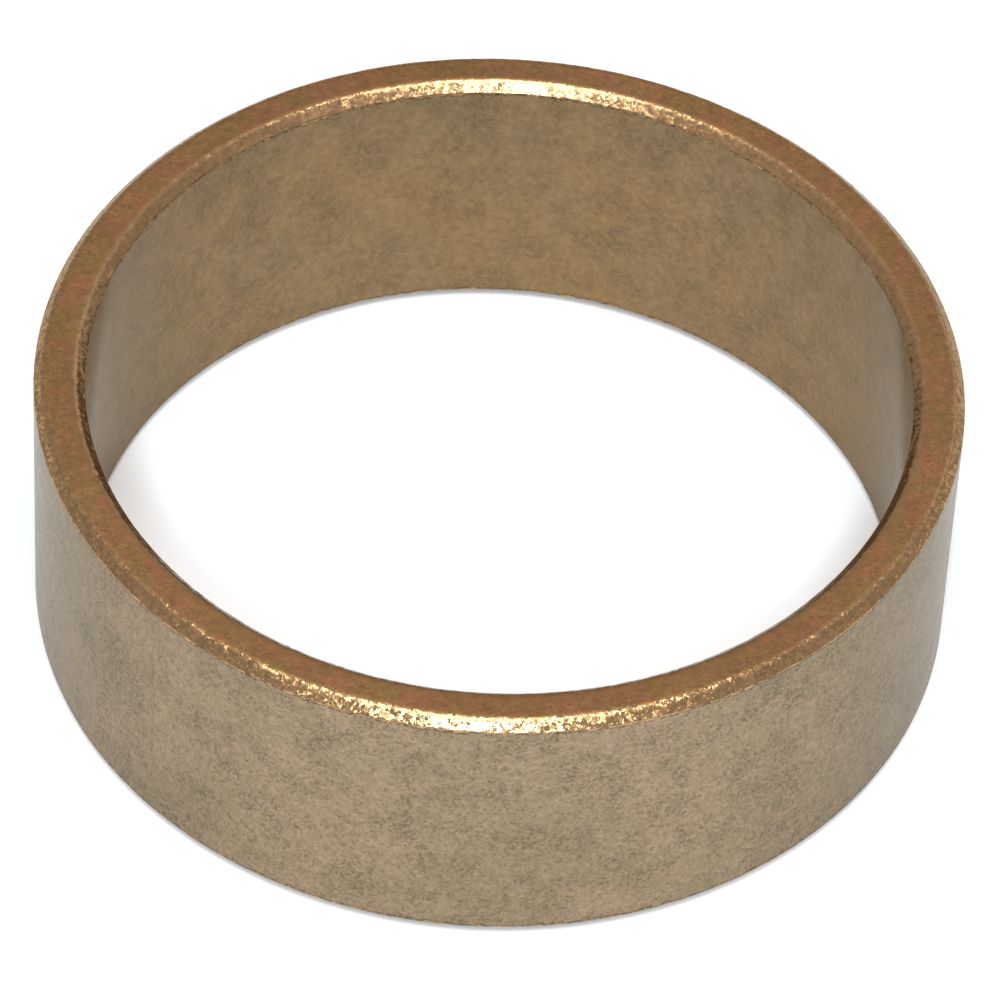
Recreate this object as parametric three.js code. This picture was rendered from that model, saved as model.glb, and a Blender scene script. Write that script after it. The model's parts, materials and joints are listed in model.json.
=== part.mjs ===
// Plain sleeve bushing: one ring of oil-filled sintered bronze, straight inside and out,
// with a small chamfer around all four of its edges.
//
// Millimetres, +Z up. The sleeve stands on one end face. The origin is on the bore's axis,
// level with that face, and +Z runs along the bore.

import * as THREE from 'three';

const INCH = 25.4;

// Driving dimensions. The bore, the wall and the length are set, and the outside follows.
const BORE_DIAMETER = 1 * INCH;
const WALL_THICKNESS = (1 / 16) * INCH;
const SLEEVE_LENGTH = (3 / 8) * INCH;

// A chamfer is given by its reach across the end face and its slope from that face.
const OUTER_CHAMFER = 0.3;
const BORE_CHAMFER = 0.3;
const CHAMFER_SLOPE = THREE.MathUtils.degToRad(45);

// Flats around the ring. A multiple of four puts a corner on each axis, so that the ring's
// box measures its true diameter.
const FLATS = 120;

// Pressed, sized bronze: brown-gold, with a dull shine.
const BRONZE_COLOR = 0x9a8660;
const BRONZE_ROUGHNESS = 0.45;

/** Half of the ring's section, as a closed outline of radius and height. */
function sleeveSection() {
  const boreRadius = BORE_DIAMETER / 2;
  const outerRadius = boreRadius + WALL_THICKNESS;
  const outerDrop = OUTER_CHAMFER * Math.tan(CHAMFER_SLOPE);
  const boreDrop = BORE_CHAMFER * Math.tan(CHAMFER_SLOPE);
  return [
    new THREE.Vector2(outerRadius - OUTER_CHAMFER, 0),
    new THREE.Vector2(outerRadius, outerDrop),
    new THREE.Vector2(outerRadius, SLEEVE_LENGTH - outerDrop),
    new THREE.Vector2(outerRadius - OUTER_CHAMFER, SLEEVE_LENGTH),
    new THREE.Vector2(boreRadius + BORE_CHAMFER, SLEEVE_LENGTH),
    new THREE.Vector2(boreRadius, SLEEVE_LENGTH - boreDrop),
    new THREE.Vector2(boreRadius, boreDrop),
    new THREE.Vector2(boreRadius + BORE_CHAMFER, 0),
    new THREE.Vector2(outerRadius - OUTER_CHAMFER, 0),
  ];
}

/** The sleeve: its section turned once around the bore's axis. */
function makeSleeve() {
  const ring = new THREE.LatheGeometry(sleeveSection(), FLATS);
  // A lathe turns about Y, so the ring is tipped up to stand along Z.
  ring.rotateX(Math.PI / 2);
  const bronze = new THREE.MeshStandardMaterial({
    color: BRONZE_COLOR,
    roughness: BRONZE_ROUGHNESS,
    metalness: 1,
  });
  const sleeve = new THREE.Mesh(ring, bronze);
  sleeve.name = 'sleeve';
  return sleeve;
}

const bushing = new THREE.Group();
bushing.add(makeSleeve());

export default bushing;
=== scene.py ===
"""A plain sleeve bushing of sintered bronze, standing on one end face on a pale floor.

Lengths are in metres. The frame gives the ring's diameters, length and chamfers; this file adds the
surface that a pressed and sized bronze sleeve has: pores, mottled metal and broken, shiny edges.
"""

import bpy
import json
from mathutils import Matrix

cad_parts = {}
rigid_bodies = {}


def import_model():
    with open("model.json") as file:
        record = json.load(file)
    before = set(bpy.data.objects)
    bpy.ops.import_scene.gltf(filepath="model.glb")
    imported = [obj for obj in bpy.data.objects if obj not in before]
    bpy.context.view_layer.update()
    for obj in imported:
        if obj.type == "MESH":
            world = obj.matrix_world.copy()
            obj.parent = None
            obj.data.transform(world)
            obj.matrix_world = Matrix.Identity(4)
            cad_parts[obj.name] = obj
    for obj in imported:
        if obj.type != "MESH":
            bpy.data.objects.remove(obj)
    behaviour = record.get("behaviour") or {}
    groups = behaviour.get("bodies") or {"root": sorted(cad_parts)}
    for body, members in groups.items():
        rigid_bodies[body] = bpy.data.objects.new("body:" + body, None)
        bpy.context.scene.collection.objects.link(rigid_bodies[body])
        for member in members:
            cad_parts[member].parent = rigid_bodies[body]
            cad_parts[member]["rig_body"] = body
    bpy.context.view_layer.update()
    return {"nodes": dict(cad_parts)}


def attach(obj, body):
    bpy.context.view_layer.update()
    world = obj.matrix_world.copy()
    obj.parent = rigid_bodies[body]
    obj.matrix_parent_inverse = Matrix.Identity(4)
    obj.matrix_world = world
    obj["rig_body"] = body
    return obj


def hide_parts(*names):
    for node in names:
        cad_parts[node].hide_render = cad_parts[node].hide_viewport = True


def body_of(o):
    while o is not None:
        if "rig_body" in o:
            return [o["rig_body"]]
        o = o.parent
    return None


bl_info = {
    "name": "Sintered Bronze Sleeve",
    "version": (1, 0, 0),
    "blender": (4, 5, 0),
    "location": "View3D > Sidebar > Sleeve",
    "description": "Builds a sintered bronze sleeve bushing, its camera and its studio",
    "category": "Add Mesh",
}

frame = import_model()

import json
import math
from types import SimpleNamespace

import bpy
import numpy as np
from mathutils import Quaternion, Vector, noise

MM = 0.001
SLEEVE_NODE = "sleeve"
SLEEVE_BODY = body_of(frame["nodes"][SLEEVE_NODE])[0]


# ------------------------------------------------------------------------------------------------
# The ring's sizes, from the frame
# ------------------------------------------------------------------------------------------------


def measured_ring(node):
    """The radii, end heights and chamfers of the ring that the frame holds."""
    points = np.array([v.co for v in frame["nodes"][node].data.vertices])
    radius = np.hypot(points[:, 0], points[:, 1])
    height = points[:, 2]
    same = 0.01 * MM
    end_face = radius[height > height.max() - same]
    return SimpleNamespace(
        bore_radius=float(radius.min()),
        outer_radius=float(radius.max()),
        low=float(height.min()),
        high=float(height.max()),
        outer_chamfer=float(radius.max() - end_face.max()),
        bore_chamfer=float(end_face.min() - radius.min()),
    )


ring = measured_ring(SLEEVE_NODE)


# ------------------------------------------------------------------------------------------------
# Settings
# ------------------------------------------------------------------------------------------------


def length_setting(name, description, default):
    """A length in metres."""
    return bpy.props.FloatProperty(
        name=name, description=description, default=default, min=0.0, precision=6, unit="LENGTH"
    )


def share_setting(name, description, default):
    """A plain number from nothing up to one."""
    return bpy.props.FloatProperty(
        name=name, description=description, default=default, min=0.0, max=1.0, subtype="FACTOR"
    )


def angle_setting(name, description, degrees):
    """An angle, stated in degrees and kept in radians."""
    return bpy.props.FloatProperty(
        name=name, description=description, default=math.radians(degrees), subtype="ANGLE"
    )


def power_setting(name, description, default):
    """A lamp's power in watts."""
    return bpy.props.FloatProperty(
        name=name, description=description, default=default, min=0.0, unit="POWER"
    )


def color_setting(name, description, default):
    """A linear colour."""
    return bpy.props.FloatVectorProperty(
        name=name, description=description, default=default, size=3, min=0.0, max=1.0, subtype="COLOR"
    )


def count_setting(name, description, default, least=3):
    """A whole number of steps."""
    return bpy.props.IntProperty(name=name, description=description, default=default, min=least)


class SleeveSizes(bpy.types.PropertyGroup):
    """The sleeve's shape."""

    outer_diameter: length_setting(
        "Outer Diameter", "Across the outer wall", 2 * ring.outer_radius
    )
    bore_diameter: length_setting("Bore Diameter", "Across the bore", 2 * ring.bore_radius)
    length: length_setting("Length", "From end face to end face", ring.high - ring.low)
    outer_chamfer: length_setting(
        "Outer Chamfer", "Reach of the outer chamfers across the end faces", ring.outer_chamfer
    )
    bore_chamfer: length_setting(
        "Bore Chamfer", "Reach of the bore's chamfers across the end faces", ring.bore_chamfer
    )
    end_corner_round: length_setting(
        "End Corner Round", "Radius between an end face and its chamfers", 0.36 * MM
    )
    wall_corner_round: length_setting(
        "Wall Corner Round", "Radius between a wall and its chamfers", 0.12 * MM
    )
    wall_wave: length_setting(
        "Wall Wave", "Depth of the shallow waves in the walls and end faces", 0.012 * MM
    )
    crumb_depth: length_setting(
        "Crumb Depth", "Depth of the crumbled facets along the chamfers", 0.02 * MM
    )
    dent_depth: length_setting("Dent Depth", "Depth of the deepest handling dents", 0.06 * MM)
    dents: count_setting("Dents", "Handling dents along the edges", 26, least=0)
    columns: count_setting("Columns", "Steps around the ring", 920)


class SleeveFinish(bpy.types.PropertyGroup):
    """The colours and grain of the sintered bronze."""

    wall_color: color_setting("Wall", "Sized bronze on the outer wall", (0.3, 0.212, 0.13))
    wall_cloud_color: color_setting(
        "Wall Clouds", "Greener patches on the outer wall", (0.258, 0.191, 0.112)
    )
    # The bore's sized bronze, made darker and browner than the outer wall: painted shade for the inside
    # of the bore.
    bore_color_and_shade: color_setting("Bore", "Sized bronze in the bore", (0.252, 0.156, 0.067))
    bore_cloud_color_and_shade: color_setting(
        "Bore Clouds", "Greener patches in the bore", (0.237, 0.154, 0.072)
    )
    end_color: color_setting("End Face", "Coppery bronze on the end faces", (0.35, 0.158, 0.068))
    end_cloud_color: color_setting(
        "End Face Clouds", "Olive patches on the end faces", (0.305, 0.17, 0.058)
    )
    edge_color: color_setting("Worn Edge", "Rubbed metal on the chamfers", (0.45, 0.258, 0.118))
    # The pore colour also paints the shade along the corner where a wall meets its chamfer.
    pore_and_shade_color: color_setting("Pores", "Oily dark in the pores", (0.085, 0.06, 0.024))
    grazing_tint: color_setting(
        "Grazing Tint", "Holds back the shine at a grazing angle", (0.42, 0.42, 0.4)
    )
    grain_size: length_setting("Grain Size", "Width of a powder grain", 0.125 * MM)
    cluster_size: length_setting("Cluster Size", "Width of a crowd of pores", 1.3 * MM)
    cloud_size: length_setting("Cloud Size", "Width of a patch of colour", 4.0 * MM)
    grain_relief: length_setting("Grain Relief", "Height of the grain", 0.02 * MM)
    wall_roughness: share_setting("Wall Roughness", "Roughness of the sized walls", 0.42)
    end_roughness: share_setting("End Face Roughness", "Roughness of the end faces", 0.5)
    edge_roughness: share_setting("Edge Roughness", "Roughness of the outer chamfers", 0.25)
    bore_edge_roughness: share_setting(
        "Bore Edge Roughness", "Roughness of the bore's chamfers", 0.28
    )
    edge_lean: share_setting("Edge Lean", "How far the outer chamfers' grains lean", 0.29)
    bore_edge_lean: share_setting("Bore Edge Lean", "How far the bore chamfers' grains lean", 0.18)
    wall_lean: share_setting("Wall Lean", "How far the grains elsewhere lean at random", 0.03)
    oil_film: share_setting("Oil Film", "How much of the sleeve its thin film of oil covers", 0.35)
    oil_roughness: share_setting("Oil Roughness", "Roughness of the oil's surface", 0.15)


class StudioSettings(bpy.types.PropertyGroup):
    """The camera, floor and lights."""

    camera_height: angle_setting("Camera Height", "Camera's angle above the floor", 46.97)
    camera_roll: angle_setting("Camera Roll", "Camera's turn about its own line of sight", 3.1)
    camera_distance: length_setting(
        "Camera Distance", "From the ring's middle to the camera", 16.6 * ring.outer_radius
    )
    lens: bpy.props.FloatProperty(
        name="Lens",
        description="Focal length for a 36 mm sensor",
        default=274.7,
        min=1.0,
        unit="CAMERA",
    )
    aim_right: length_setting(
        "Aim Right", "How far the camera aims to the right of the ring's middle",
        0.0138 * ring.outer_radius,
    )
    aim_down: length_setting(
        "Aim Down", "How far the camera aims below the ring's middle", 0.0406 * ring.outer_radius
    )
    floor_color: color_setting("Floor", "Pale floor", (0.9, 0.9, 0.9))
    sky_color: color_setting("Sky", "Soft light overhead", (0.55, 0.55, 0.57))
    horizon_color: color_setting("Horizon", "Soft light at the horizon", (0.45, 0.45, 0.45))
    lamp_color: color_setting("Lamp Colour", "Cool white of the small lamp", (0.7, 0.88, 1.0))
    lamp_power: power_setting("Lamp", "Small lamp beside the camera", 1.9)
    softbox_power: power_setting("Softbox", "Large soft light overhead", 5.6)
    side_power: power_setting("Side Light", "Faint panel behind and to the right", 0.12)


# ------------------------------------------------------------------------------------------------
# The sleeve's section
# ------------------------------------------------------------------------------------------------

SLOPE = math.sqrt(0.5)
CORNER_STEPS = 4
FINEST_STEP = 0.065 * MM
WALL_STEP = 0.9 * MM
END_STEP = 0.16 * MM
STEP_GROWTH = 1.6
MOST_SLANT = 0.1


def section_corners(sizes):
    """The section's eight corners as (radius, height), starting at the lower end face's outer corner."""
    outer = sizes.outer_diameter / 2
    bore = sizes.bore_diameter / 2
    low = ring.low
    high = ring.low + sizes.length
    return [
        Vector((outer - sizes.outer_chamfer, low)),
        Vector((outer, low + sizes.outer_chamfer)),
        Vector((outer, high - sizes.outer_chamfer)),
        Vector((outer - sizes.outer_chamfer, high)),
        Vector((bore + sizes.bore_chamfer, high)),
        Vector((bore, high - sizes.bore_chamfer)),
        Vector((bore, low + sizes.bore_chamfer)),
        Vector((bore + sizes.bore_chamfer, low)),
    ]


def rounded_section(sizes):
    """The section as a closed loop of points with small round corners.

    It starts and ends in the middle of the lower end face, where the ring's seam is hidden.
    """
    corners = section_corners(sizes)
    start = (corners[0] + corners[-1]) / 2
    stops = [start, *corners, start]
    points = [start]
    for before, corner, after in zip(stops, stops[1:], stops[2:]):
        into = (corner - before).normalized()
        out = (after - corner).normalized()
        at_wall = min(abs(into.x), abs(out.x)) < SLOPE / 2
        radius = sizes.wall_corner_round if at_wall else sizes.end_corner_round
        cut = radius * math.tan(into.angle(out) / 2)
        arc_start = corner - into * cut
        arc_end = corner + out * cut
        add_stretch(points, arc_start)
        for step in range(1, CORNER_STEPS + 1):
            t = step / CORNER_STEPS
            points.append(arc_start * (1 - t) ** 2 + corner * 2 * t * (1 - t) + arc_end * t ** 2)
    add_stretch(points, start)
    return points[:-1]


def add_stretch(points, end):
    """Adds a straight run of points from the last one to the given end, closer together near corners."""
    start = points[-1]
    run = end - start
    if abs(run.x) < abs(run.y) * MOST_SLANT:
        widest = WALL_STEP
    elif abs(run.y) < abs(run.x) * MOST_SLANT:
        widest = END_STEP
    else:
        widest = FINEST_STEP
    steps = [FINEST_STEP]
    while sum(steps) < run.length / 2:
        steps.append(min(steps[-1] * STEP_GROWTH, widest))
    places = np.cumsum(steps + steps[::-1])
    points.extend(start + run * float(place / places[-1]) for place in places)


# ------------------------------------------------------------------------------------------------
# The sleeve's surface
# ------------------------------------------------------------------------------------------------

WAVE_SIZE = 2.6 * MM
CRUMB_SIZE = 0.24 * MM
CRUMB_LEAN = 0.12
RAGGED_SIZE = 0.8 * MM
RAGGED_SHARE = 0.25
LEAN_SPREAD = 7.3
LEVEL_SPREAD = 3.1
CRUMB_SEED = 5
DENT_SEED = 17
DENT_WIDTHS = (0.12 * MM, 0.4 * MM)
DENT_DEPTHS = (0.4, 1.0)
UPPER_SHARE = 0.7
OUTER_SHARE = 0.6


def section_normals(section):
    """The points of the closed section, and the outward direction at each."""
    points = np.array([tuple(p) for p in section])
    along = np.roll(points, -1, axis=0) - np.roll(points, 1, axis=0)
    along /= np.linalg.norm(along, axis=1)[:, None]
    return points, np.stack([along[:, 1], -along[:, 0]], axis=1)


def crumble(spot, depth):
    """How deep a chamfer's surface lies at a spot: crumbled facets that lean at random."""
    cell = spot / CRUMB_SIZE
    centre = noise.voronoi(cell)[1][0]
    lean = noise.noise_vector(centre * LEAN_SPREAD) * CRUMB_LEAN * CRUMB_SIZE
    level = depth * (0.5 + noise.noise(centre * LEVEL_SPREAD)) + lean.dot(cell - centre)
    return min(max(level, 0.0), 2 * depth)


def make_dents(sizes):
    """Small handling dents along the edges, as (place, width, depth)."""
    chance = np.random.default_rng(DENT_SEED)
    dents = []
    for _ in range(sizes.dents):
        turn = chance.uniform(0, 2 * math.pi)
        across = sizes.outer_diameter if chance.random() < OUTER_SHARE else sizes.bore_diameter
        height = ring.low + (sizes.length if chance.random() < UPPER_SHARE else 0.0)
        place = np.array([across / 2 * math.cos(turn), across / 2 * math.sin(turn), height])
        width = chance.uniform(*DENT_WIDTHS)
        dents.append((place, width, sizes.dent_depth * chance.uniform(*DENT_DEPTHS)))
    return dents


def beyond_chamfer(sizes, points):
    """How far each point of the section stands beyond the plane of its nearest chamfer."""
    outer = sizes.outer_diameter / 2 - points[:, 0]
    bore = points[:, 0] - sizes.bore_diameter / 2
    end = np.minimum(points[:, 1] - ring.low, ring.low + sizes.length - points[:, 1])
    past_outer = (sizes.outer_chamfer - outer - end) * SLOPE
    past_bore = (sizes.bore_chamfer - bore - end) * SLOPE
    return np.maximum(past_outer, past_bore)


def surface_depths(sizes, places, beyond, facing):
    """How far each point is moved in from the true ring, along its normal.

    beyond is a point's distance past its chamfer's plane, and facing how squarely its normal faces
    that chamfer. A chamfer that is cut deeper also takes a strip off the wall and the end face.
    """
    depths = np.empty(len(places))
    noise.seed_set(CRUMB_SEED)  # unset, the noise vectors would start from the clock
    for index, (place, past, square) in enumerate(zip(places, beyond, facing)):
        spot = Vector(place)
        wave = 0.5 + 0.5 * noise.noise(spot / WAVE_SIZE)
        depth = sizes.wall_wave * min(max(wave, 0.0), 1.0)
        if past > -2 * sizes.crumb_depth:
            swing = RAGGED_SHARE * noise.noise(spot / RAGGED_SIZE)
            ragged = sizes.crumb_depth * (RAGGED_SHARE + swing)
            cut = past + ragged + crumble(spot, sizes.crumb_depth / 2)
            depth += max(cut, 0.0) / square
        depths[index] = depth
    for place, width, depth in make_dents(sizes):
        reach = np.linalg.norm(places - place, axis=1) / width
        depths += depth * np.clip(1 - reach ** 2, 0.0, 1.0) ** 2
    return depths


def ring_mesh(sizes, name):
    """The ring as a closed mesh of quads, with its pattern map."""
    points, normals = section_normals(rounded_section(sizes))
    rows = len(points)
    columns = sizes.columns
    turns = np.arange(columns) * 2 * math.pi / columns
    around = np.stack([np.cos(turns), np.sin(turns)], axis=1)
    flat = np.repeat(around[:, None, :], rows, axis=1) * points[None, :, :1]
    heights = np.broadcast_to(points[None, :, 1:], (columns, rows, 1))
    places = np.concatenate([flat, heights], axis=2).reshape(-1, 3)
    outward = np.concatenate(
        [
            np.repeat(around[:, None, :], rows, axis=1) * normals[None, :, :1],
            np.broadcast_to(normals[None, :, 1:], (columns, rows, 1)),
        ],
        axis=2,
    ).reshape(-1, 3)
    beyond = np.tile(beyond_chamfer(sizes, points), columns)
    facing = np.tile(np.abs(normals).sum(axis=1) * SLOPE, columns)
    places = places - outward * surface_depths(sizes, places, beyond, facing)[:, None]
    column, row = np.meshgrid(np.arange(columns), np.arange(rows), indexing="ij")
    next_column = (column + 1) % columns
    next_row = (row + 1) % rows
    quads = np.stack(
        [
            column * rows + row,
            next_column * rows + row,
            next_column * rows + next_row,
            column * rows + next_row,
        ],
        axis=2,
    ).reshape(-1, 4)
    mesh = bpy.data.meshes.new(name)
    mesh.from_pydata(places.tolist(), [], quads.tolist())
    mesh.polygons.foreach_set("use_smooth", np.ones(len(quads), bool))
    add_pattern_map(mesh, points, columns)
    mesh.validate()
    mesh.update()
    return mesh


PATTERN_MAP = "OFBake"
STRIPS = 2
STRIP_MARGIN = 0.004


def add_pattern_map(mesh, points, columns):
    """A map that lays the ring out as equal strips, each a part of the turn.

    The strips are cut along the seam in the middle of the lower end face.
    """
    rows = len(points)
    runs = np.linalg.norm(np.roll(points, -1, axis=0) - points, axis=1)
    along = np.concatenate([[0.0], np.cumsum(runs)]) / runs.sum()
    per_strip = columns // STRIPS
    column, row = np.meshgrid(np.arange(columns), np.arange(rows), indexing="ij")
    strip = column // per_strip
    left = (column % per_strip) / per_strip
    right = (column % per_strip + 1) / per_strip
    height = (1 - 2 * STRIP_MARGIN) / STRIPS
    base = (strip + STRIP_MARGIN) / STRIPS
    lower = base + along[row] * height
    upper = base + along[row + 1] * height
    corners = np.stack(
        [left, lower, right, lower, right, upper, left, upper], axis=2
    ).reshape(-1)
    mesh.uv_layers.new(name=PATTERN_MAP).uv.foreach_set("vector", corners.astype(np.float32))


# ------------------------------------------------------------------------------------------------
# Node helpers
# ------------------------------------------------------------------------------------------------

STIR_SCALE = 0.7


class NodeBench:
    """Adds nodes to one tree. An input takes a number, a colour or another node's output."""

    def __init__(self, tree):
        self.tree = tree

    def add(self, kind, inputs=None, **settings):
        """A node with the given settings and inputs."""
        node = self.tree.nodes.new("ShaderNode" + kind)
        for key, value in settings.items():
            setattr(node, key, value)
        for key, value in (inputs or {}).items():
            self.fill(node.inputs[key], value)
        return node

    def fill(self, socket, value):
        """Links an output to a socket, or sets the socket's own value."""
        if isinstance(value, bpy.types.NodeSocket):
            self.tree.links.new(value, socket)
        else:
            socket.default_value = value

    def maths(self, operation, *values):
        """A number worked out from numbers."""
        inputs = dict(enumerate(values))
        return self.add("Math", inputs, operation=operation).outputs[0]

    def scaled(self, vector, amount):
        """A vector or colour, times a number."""
        return self.add("VectorMath", {0: vector, 3: amount}, operation="SCALE").outputs["Vector"]

    def grain(self, place, size, detail=2.0, rough=0.5):
        """A smooth random pattern with features about as wide as size."""
        inputs = {"Vector": place, "Scale": 1 / size, "Detail": detail, "Roughness": rough}
        return self.add("TexNoise", inputs).outputs["Fac"]

    def cells(self, place, size):
        """Random cells about as wide as size: a steady random number for each, from 0 to 1."""
        color = self.add("TexVoronoi", {"Vector": place, "Scale": 1 / size}).outputs["Color"]
        return self.add("SeparateColor", {"Color": color}).outputs[0]

    def stirred(self, place, size):
        """The place, shifted at random by up to about half of size."""
        inputs = {"Vector": place, "Scale": STIR_SCALE / size}
        shift = self.add("TexNoise", inputs).outputs["Color"]
        return self.shifted(place, shift, size)

    def leaned(self, place, size, normal, amount):
        """The normal, turned at random in each cell of about size, by up to half of amount."""
        lean = self.add("TexVoronoi", {"Vector": place, "Scale": 1 / size}).outputs["Color"]
        leant = self.shifted(normal, lean, amount)
        return self.add("VectorMath", {0: leant}, operation="NORMALIZE").outputs["Vector"]

    def shifted(self, vector, color, amount):
        """The vector, shifted by a random colour's way from middle grey, times amount."""
        centred = self.add("VectorMath", {0: color, 1: (0.5, 0.5, 0.5)}, operation="SUBTRACT")
        short = self.scaled(centred.outputs[0], amount)
        return self.add("VectorMath", {0: vector, 1: short}, operation="ADD").outputs[0]

    def ramp(self, value, low, high, to_low=0.0, to_high=1.0, smooth=True):
        """Turns a number from low to high into one from to_low to to_high, and holds it there."""
        inputs = {
            "Value": value,
            "From Min": low,
            "From Max": high,
            "To Min": to_low,
            "To Max": to_high,
        }
        kind = "SMOOTHSTEP" if smooth else "LINEAR"
        return self.add("MapRange", inputs, interpolation_type=kind).outputs["Result"]

    def step(self, value, base, band):
        """From 0 to 1 as a number passes through a band, given from a base."""
        return self.ramp(value, base + band[0], base + band[1])

    def blend(self, share, first, second):
        """A colour between two colours."""
        node = self.add("Mix", data_type="RGBA")
        self.fill(node.inputs["Factor"], share)
        self.fill(node.inputs[6], first)
        self.fill(node.inputs[7], second)
        return node.outputs[2]

    def between(self, share, first, second):
        """A number between two numbers."""
        node = self.add("Mix", data_type="FLOAT")
        self.fill(node.inputs["Factor"], share)
        self.fill(node.inputs[2], first)
        self.fill(node.inputs[3], second)
        return node.outputs[0]


def opaque(color):
    """A colour setting as a node colour."""
    return (*color, 1.0)


# ------------------------------------------------------------------------------------------------
# The bronze
# ------------------------------------------------------------------------------------------------

# Where each finish starts and ends. A chamfer's finish runs a little way past its own edges.
LINE_WANDER = 0.04 * MM
LINE_WANDER_SIZE = 0.3 * MM
CORNER_DROP = 0.05 * MM
WALL_START = (-0.03 * MM, 0.03 * MM)
CHAMFER_FADE = (0.12 * MM, 0.02 * MM)
CHAMFER_END = (0.02 * MM, -0.04 * MM)
# The painted shade along the corner where a wall meets its chamfer starts and ends here.
CORNER_SHADE_START = (-0.02 * MM, 0.02 * MM)
CORNER_SHADE_END = (0.1 * MM, 0.03 * MM)
BORE_START = (-0.1 * MM, -0.3 * MM)

# The part of a random pattern's range that a change of finish uses.
MOST_OF_RANGE = (0.3, 0.7)
CLOUD_RANGE = (0.36, 0.64)
PATCH_RANGE = (0.35, 0.65)
CROWD_RANGE = (0.35, 0.7)
SPECKLE_RANGE = (0.25, 0.75)

# The grain and the pores.
SPECKLE_WIDTH = 0.8
FACET_WIDTH = 0.65
PORE_LEVELS = (0.37, 0.49)
PORE_EDGE = (-0.08, 0.12)
OUTER_PORES = 0.38
BORE_PORES = 0.18
END_PORES = 0.2
# How the painted shade along a wall's corner with its chamfer breaks up, and how dark it goes.
CORNER_SHADE_BREAKS = (0.58, 0.44)
CORNER_SHADE_SHARES = (0.15, 0.8)

# How much lighter and darker the metal goes, and over what width.
PATCH_SIZE = 0.9 * MM
MOTTLE_SIZE = 0.26 * MM
END_DRIFT = (1.06, 0.94)
GRAIN_SWING = (-1.0, 1.0)
SPECKLE_SWING = (-1.2, 1.2)
OUTER_MOTTLE = 0.11
BORE_MOTTLE = 0.04
MOTTLE_SWING = (0.9, 1.1)
CROWD_SWING = (1.03, 0.97)

# How rough and how deep the grain is.
CROWD_ROUGHNESS = (-0.04, 0.05)
PORE_ROUGHNESS = 0.12
PORE_SINK = 0.4
OUTER_RELIEF = 0.28
BORE_RELIEF = 0.16


def bronze_material(sizes, finish):
    """Sintered bronze: pale sized walls, coppery end faces and bright worn chamfers."""
    material = bpy.data.materials.new("sintered_bronze")
    material.use_nodes = True
    tree = material.node_tree
    tree.nodes.clear()
    bench = NodeBench(tree)
    place = bench.add("TexCoord").outputs["Object"]
    regions = bronze_regions(bench, place, sizes)
    grain = bronze_grain(bench, place, finish)
    bare = bare_color(bench, place, regions, grain, finish)
    color = bench.scaled(bare, mottle(bench, place, regions, grain))
    shader = bench.add(
        "BsdfPrincipled",
        {
            "Base Color": pored_color(bench, color, regions, grain, finish),
            "Metallic": 1.0,
            "Specular Tint": opaque(finish.grazing_tint),
            "Coat Weight": finish.oil_film,
            "Coat Roughness": finish.oil_roughness,
            "Roughness": bronze_roughness(bench, regions, grain, finish),
            "Normal": bronze_relief(bench, regions, grain, finish),
        },
    )
    output = bench.add("OutputMaterial")
    tree.links.new(shader.outputs["BSDF"], output.inputs["Surface"])
    return material


def bronze_regions(bench, place, sizes):
    """Which part of the ring a point is on, each as a share: wall, chamfer, bore, and the painted shade
    along the corner where a wall meets its chamfer.
    """
    parts = bench.add("SeparateXYZ", {"Vector": place})
    height = parts.outputs["Z"]
    flat = bench.add("CombineXYZ", {"X": parts.outputs["X"], "Y": parts.outputs["Y"]})
    length = bench.add("VectorMath", {0: flat.outputs["Vector"]}, operation="LENGTH")
    radius = length.outputs["Value"]
    top = ring.low + sizes.length
    from_end = bench.maths(
        "MINIMUM", bench.maths("SUBTRACT", height, ring.low), bench.maths("SUBTRACT", top, height)
    )
    from_wall = bench.maths(
        "MINIMUM",
        bench.maths("SUBTRACT", sizes.outer_diameter / 2, radius),
        bench.maths("SUBTRACT", radius, sizes.bore_diameter / 2),
    )
    wander = bench.ramp(
        bench.grain(place, LINE_WANDER_SIZE), *MOST_OF_RANGE, -LINE_WANDER, LINE_WANDER
    )
    depth = bench.maths("ADD", from_end, wander)
    reach = bench.maths("ADD", from_wall, wander)
    corner = sizes.outer_chamfer + CORNER_DROP
    mean_radius = (sizes.outer_diameter + sizes.bore_diameter) / 4
    return SimpleNamespace(
        wall=bench.step(depth, corner, WALL_START),
        chamfer=bench.maths(
            "MULTIPLY",
            bench.step(reach, sizes.outer_chamfer, CHAMFER_FADE),
            bench.step(depth, corner, CHAMFER_END),
        ),
        bore=bench.step(radius, mean_radius, BORE_START),
        # Where shade is painted: along the corner where a wall meets its chamfer.
        line=bench.maths(
            "MULTIPLY",
            bench.step(depth, corner, CORNER_SHADE_START),
            bench.step(depth, corner, CORNER_SHADE_END),
        ),
    )


def bronze_grain(bench, place, finish):
    """The powder's patterns, each from 0 to 1, and the stirred place that its grains lie on."""
    stirred = bench.stirred(place, finish.grain_size)
    grains = bench.cells(stirred, finish.grain_size)
    speckle = bench.grain(stirred, SPECKLE_WIDTH * finish.grain_size, rough=0.6)
    crowd = bench.grain(place, finish.cluster_size, detail=3.0, rough=0.6)
    cloud = bench.grain(place, finish.cloud_size, detail=3.0, rough=0.6)
    level = bench.ramp(crowd, *CROWD_RANGE, *PORE_LEVELS)
    pore = bench.ramp(bench.maths("SUBTRACT", level, speckle), *PORE_EDGE)
    return SimpleNamespace(
        place=stirred, grains=grains, speckle=speckle, crowd=crowd, cloud=cloud, pore=pore
    )


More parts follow.
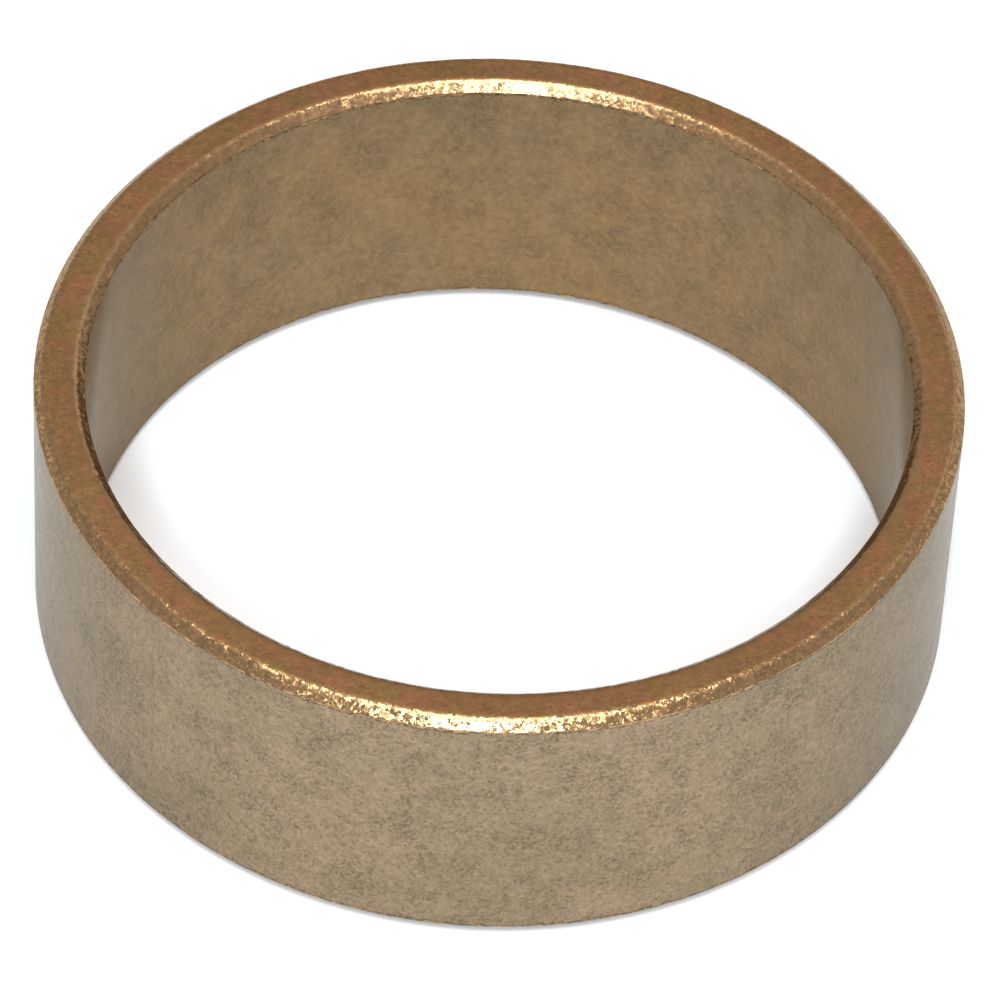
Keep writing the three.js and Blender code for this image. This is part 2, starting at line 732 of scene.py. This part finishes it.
def bare_color(bench, place, regions, grain, finish):
    """The metal's own colour, with painted shade in the bore: walls with soft clouds, patchy end faces
    and paler chamfers.
    """
    clouds = bench.ramp(grain.cloud, *CLOUD_RANGE)
    outer = bench.blend(clouds, opaque(finish.wall_color), opaque(finish.wall_cloud_color))
    # The bore's colours carry painted shade: darker and browner than the outer wall.
    bore = bench.blend(clouds, opaque(finish.bore_color_and_shade), opaque(finish.bore_cloud_color_and_shade))
    wall = bench.blend(regions.bore, outer, bore)
    patches = bench.ramp(bench.grain(place, PATCH_SIZE, detail=3.0), *PATCH_RANGE)
    end = bench.blend(patches, opaque(finish.end_color), opaque(finish.end_cloud_color))
    end = bench.scaled(end, bench.ramp(grain.cloud, *PATCH_RANGE, *END_DRIFT))
    metal = bench.blend(regions.wall, end, wall)
    return bench.blend(regions.chamfer, metal, opaque(finish.edge_color))


def mottle(bench, place, regions, grain):
    """How light the metal is beside its own colour, about 1: grain by grain, then more widely."""
    amount = bench.between(regions.bore, OUTER_MOTTLE, BORE_MOTTLE)
    by_grain = bench.ramp(grain.grains, 0.0, 1.0, *GRAIN_SWING, smooth=False)
    by_speckle = bench.ramp(grain.speckle, *SPECKLE_RANGE, *SPECKLE_SWING, smooth=False)
    fine = bench.maths("MULTIPLY", bench.maths("ADD", by_grain, by_speckle), amount)
    pattern = bench.grain(place, MOTTLE_SIZE, detail=1.0)
    coarse = bench.ramp(pattern, *MOST_OF_RANGE, *MOTTLE_SWING, smooth=False)
    slow = bench.ramp(grain.crowd, *MOST_OF_RANGE, *CROWD_SWING, smooth=False)
    mixed = bench.maths("MULTIPLY", bench.maths("ADD", 1.0, fine), coarse)
    return bench.maths("MULTIPLY", mixed, slow)


def pored_color(bench, color, regions, grain, finish):
    """The colour with dark pores in it, and a broken dark band of painted shade where a wall meets its
    chamfer.
    """
    pores_and_shade = opaque(finish.pore_and_shade_color)
    wall_pores = bench.between(regions.bore, OUTER_PORES, BORE_PORES)
    pores = bench.between(regions.wall, END_PORES, wall_pores)
    pored = bench.blend(bench.maths("MULTIPLY", grain.pore, pores), color, pores_and_shade)
    # Painted shade: a broken dark band along the corner where a wall meets its chamfer.
    shade_breaks = bench.ramp(grain.speckle, *CORNER_SHADE_BREAKS, *CORNER_SHADE_SHARES)
    return bench.blend(bench.maths("MULTIPLY", regions.line, shade_breaks), pored, pores_and_shade)


def bronze_roughness(bench, regions, grain, finish):
    """The metal's roughness: sized walls, duller end faces, worn chamfers and dull pores."""
    flat = bench.between(regions.wall, finish.end_roughness, finish.wall_roughness)
    crowded = bench.ramp(grain.crowd, *MOST_OF_RANGE, *CROWD_ROUGHNESS)
    pitted = bench.maths("MULTIPLY", grain.pore, PORE_ROUGHNESS)
    face = bench.maths("ADD", bench.maths("ADD", flat, crowded), pitted)
    edge = bench.between(regions.bore, finish.edge_roughness, finish.bore_edge_roughness)
    return bench.between(regions.chamfer, face, edge)


def bronze_relief(bench, regions, grain, finish):
    """The grain's relief: grains that lean at random, with the pores sunk between them."""
    edge_lean = bench.between(regions.bore, finish.edge_lean, finish.bore_edge_lean)
    lean = bench.between(regions.chamfer, finish.wall_lean, edge_lean)
    normal = bench.add("NewGeometry").outputs["Normal"]
    inputs = {
        "Strength": bench.between(regions.bore, OUTER_RELIEF, BORE_RELIEF),
        "Distance": finish.grain_relief,
        "Height": bench.maths(
            "SUBTRACT", grain.speckle, bench.maths("MULTIPLY", grain.pore, PORE_SINK)
        ),
        "Normal": bench.leaned(grain.place, FACET_WIDTH * finish.grain_size, normal, lean),
    }
    return bench.add("Bump", inputs).outputs["Normal"]


# ------------------------------------------------------------------------------------------------
# Operators
# ------------------------------------------------------------------------------------------------

CLIP_RATIO = 100


class PlaceCamera(bpy.types.Operator):
    """Put a long lens above the floor, looking down into the ring"""

    bl_idname = "sleeve.place_camera"
    bl_label = "Place Camera"

    def execute(self, context):
        studio = context.scene.sleeve_studio
        middle = Vector((0, 0, (ring.low + ring.high) / 2))
        back = Vector((0, -math.cos(studio.camera_height), math.sin(studio.camera_height)))
        right = Vector((1, 0, 0))
        up = right.cross(-back)
        spot = middle + back * studio.camera_distance
        target = middle + right * studio.aim_right - up * studio.aim_down
        lens = bpy.data.cameras.new("camera")
        lens.lens = studio.lens
        lens.clip_start = studio.camera_distance / CLIP_RATIO
        lens.clip_end = studio.camera_distance * CLIP_RATIO
        camera = bpy.data.objects.new("camera", lens)
        camera.location = spot
        camera.rotation_mode = "QUATERNION"
        roll = Quaternion((0, 0, 1), studio.camera_roll)
        camera.rotation_quaternion = (target - spot).to_track_quat("-Z", "Y") @ roll
        context.scene.collection.objects.link(camera)
        context.scene.camera = camera
        return {"FINISHED"}


class BuildSleeve(bpy.types.Operator):
    """Turn the sleeve's section into a ring and give it its sintered bronze"""

    bl_idname = "sleeve.build_sleeve"
    bl_label = "Build Sleeve"

    def execute(self, context):
        sizes = context.scene.sleeve_sizes
        mesh = ring_mesh(sizes, "bronze_sleeve")
        mesh.materials.append(bronze_material(sizes, context.scene.sleeve_finish))
        sleeve = bpy.data.objects.new("bronze_sleeve", mesh)
        context.scene.collection.objects.link(sleeve)
        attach(sleeve, SLEEVE_BODY)
        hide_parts(SLEEVE_NODE)
        return {"FINISHED"}


class SetStudio(bpy.types.Operator):
    """Lay the pale floor and hang the soft lights"""

    bl_idname = "sleeve.set_studio"
    bl_label = "Set Studio"

    def execute(self, context):
        studio = context.scene.sleeve_studio
        lay_floor(context.scene, studio)
        hang_lights(context.scene, studio)
        fill_sky(context.scene, studio)
        context.scene.view_settings.view_transform = "Standard"
        return {"FINISHED"}


WHITE = (1.0, 1.0, 1.0)
FLOOR_HALF_WIDTH = 3.0
FLOOR_ROUGHNESS = 0.9


def lay_floor(scene, studio):
    """A wide plain floor at the sleeve's lower end face."""
    mesh = bpy.data.meshes.new("floor")
    signs = [(-1, -1), (1, -1), (1, 1), (-1, 1)]
    corners = [(x * FLOOR_HALF_WIDTH, y * FLOOR_HALF_WIDTH, ring.low) for x, y in signs]
    mesh.from_pydata(corners, [], [(0, 1, 2, 3)])
    material = bpy.data.materials.new("pale_floor")
    material.use_nodes = True
    shader = material.node_tree.nodes["Principled BSDF"]
    shader.inputs["Base Color"].default_value = opaque(studio.floor_color)
    shader.inputs["Roughness"].default_value = FLOOR_ROUGHNESS
    mesh.materials.append(material)
    floor = bpy.data.objects.new("floor", mesh)
    scene.collection.objects.link(floor)


def add_area_light(scene, name, spot, width, power, color=WHITE):
    """A square light at a spot, facing the ring."""
    lamp = bpy.data.lights.new(name, "AREA")
    lamp.color = color
    lamp.size = width
    lamp.energy = power
    light = bpy.data.objects.new(name, lamp)
    light.location = spot
    light.rotation_mode = "QUATERNION"
    light.rotation_quaternion = (-Vector(spot)).to_track_quat("-Z", "Y")
    scene.collection.objects.link(light)


def lamp_place(side, height, distance):
    """A place at a distance from the ring. Its turn from the camera's side and height are degrees."""
    side = math.radians(side)
    height = math.radians(height)
    return (
        distance * math.sin(side) * math.cos(height),
        -distance * math.cos(side) * math.cos(height),
        distance * math.sin(height),
    )


LAMP_WIDTH = 0.06
SOFTBOX_WIDTH = 0.5
PANEL_WIDTH = 0.3
SKY_HEIGHTS = (0.05, 0.8)


def hang_lights(scene, studio):
    """A small lamp beside the camera, a large soft light overhead and a faint panel at the side."""
    lamp_spot = lamp_place(side=-2, height=43, distance=0.6)
    softbox_spot = lamp_place(side=0, height=75, distance=0.8)
    panel_spot = lamp_place(side=140, height=27, distance=0.6)
    add_area_light(scene, "lamp", lamp_spot, LAMP_WIDTH, studio.lamp_power, studio.lamp_color)
    add_area_light(scene, "softbox", softbox_spot, SOFTBOX_WIDTH, studio.softbox_power)
    add_area_light(scene, "side_panel", panel_spot, PANEL_WIDTH, studio.side_power)


def fill_sky(scene, studio):
    """Soft light from all round: dimmer at the horizon, a little brighter and cooler overhead."""
    world = bpy.data.worlds.new("studio")
    scene.world = world
    world.use_nodes = True
    tree = world.node_tree
    tree.nodes.clear()
    bench = NodeBench(tree)
    way = bench.add("TexCoord").outputs["Generated"]
    height = bench.add("SeparateXYZ", {"Vector": way}).outputs["Z"]
    share = bench.ramp(height, *SKY_HEIGHTS)
    color = bench.blend(share, opaque(studio.horizon_color), opaque(studio.sky_color))
    background = bench.add("Background", {"Color": color, "Strength": 1.0})
    output = bench.add("OutputWorld")
    tree.links.new(background.outputs["Background"], output.inputs["Surface"])


# ------------------------------------------------------------------------------------------------
# Panel, registration and the run
# ------------------------------------------------------------------------------------------------


class SleevePanel(bpy.types.Panel):
    """The sleeve's settings and its steps, in making order"""

    bl_idname = "VIEW3D_PT_sleeve"
    bl_label = "Bronze Sleeve"
    bl_space_type = "VIEW_3D"
    bl_region_type = "UI"
    bl_category = "Sleeve"

    def draw(self, context):
        layout = self.layout
        for step in STEPS:
            layout.operator(step.bl_idname)
        for group in (
            context.scene.sleeve_sizes, context.scene.sleeve_finish, context.scene.sleeve_studio
        ):
            box = layout.box()
            for name in group.__annotations__:
                box.prop(group, name)


GROUPS = {
    "sleeve_sizes": SleeveSizes,
    "sleeve_finish": SleeveFinish,
    "sleeve_studio": StudioSettings,
}
STEPS = (PlaceCamera, BuildSleeve, SetStudio)


def register():
    """Makes the settings, the steps and the panel known to Blender."""
    for name, group in GROUPS.items():
        bpy.utils.register_class(group)
        setattr(bpy.types.Scene, name, bpy.props.PointerProperty(type=group))
    for step in (*STEPS, SleevePanel):
        bpy.utils.register_class(step)


def unregister():
    """Takes them away again."""
    for step in (SleevePanel, *reversed(STEPS)):
        bpy.utils.unregister_class(step)
    for name, group in reversed(GROUPS.items()):
        delattr(bpy.types.Scene, name)
        bpy.utils.unregister_class(group)


def main():
    """Runs each step in order."""
    register()
    bpy.ops.sleeve.place_camera()
    bpy.ops.sleeve.build_sleeve()
    bpy.ops.sleeve.set_studio()


if __name__ == "__main__":
    main()
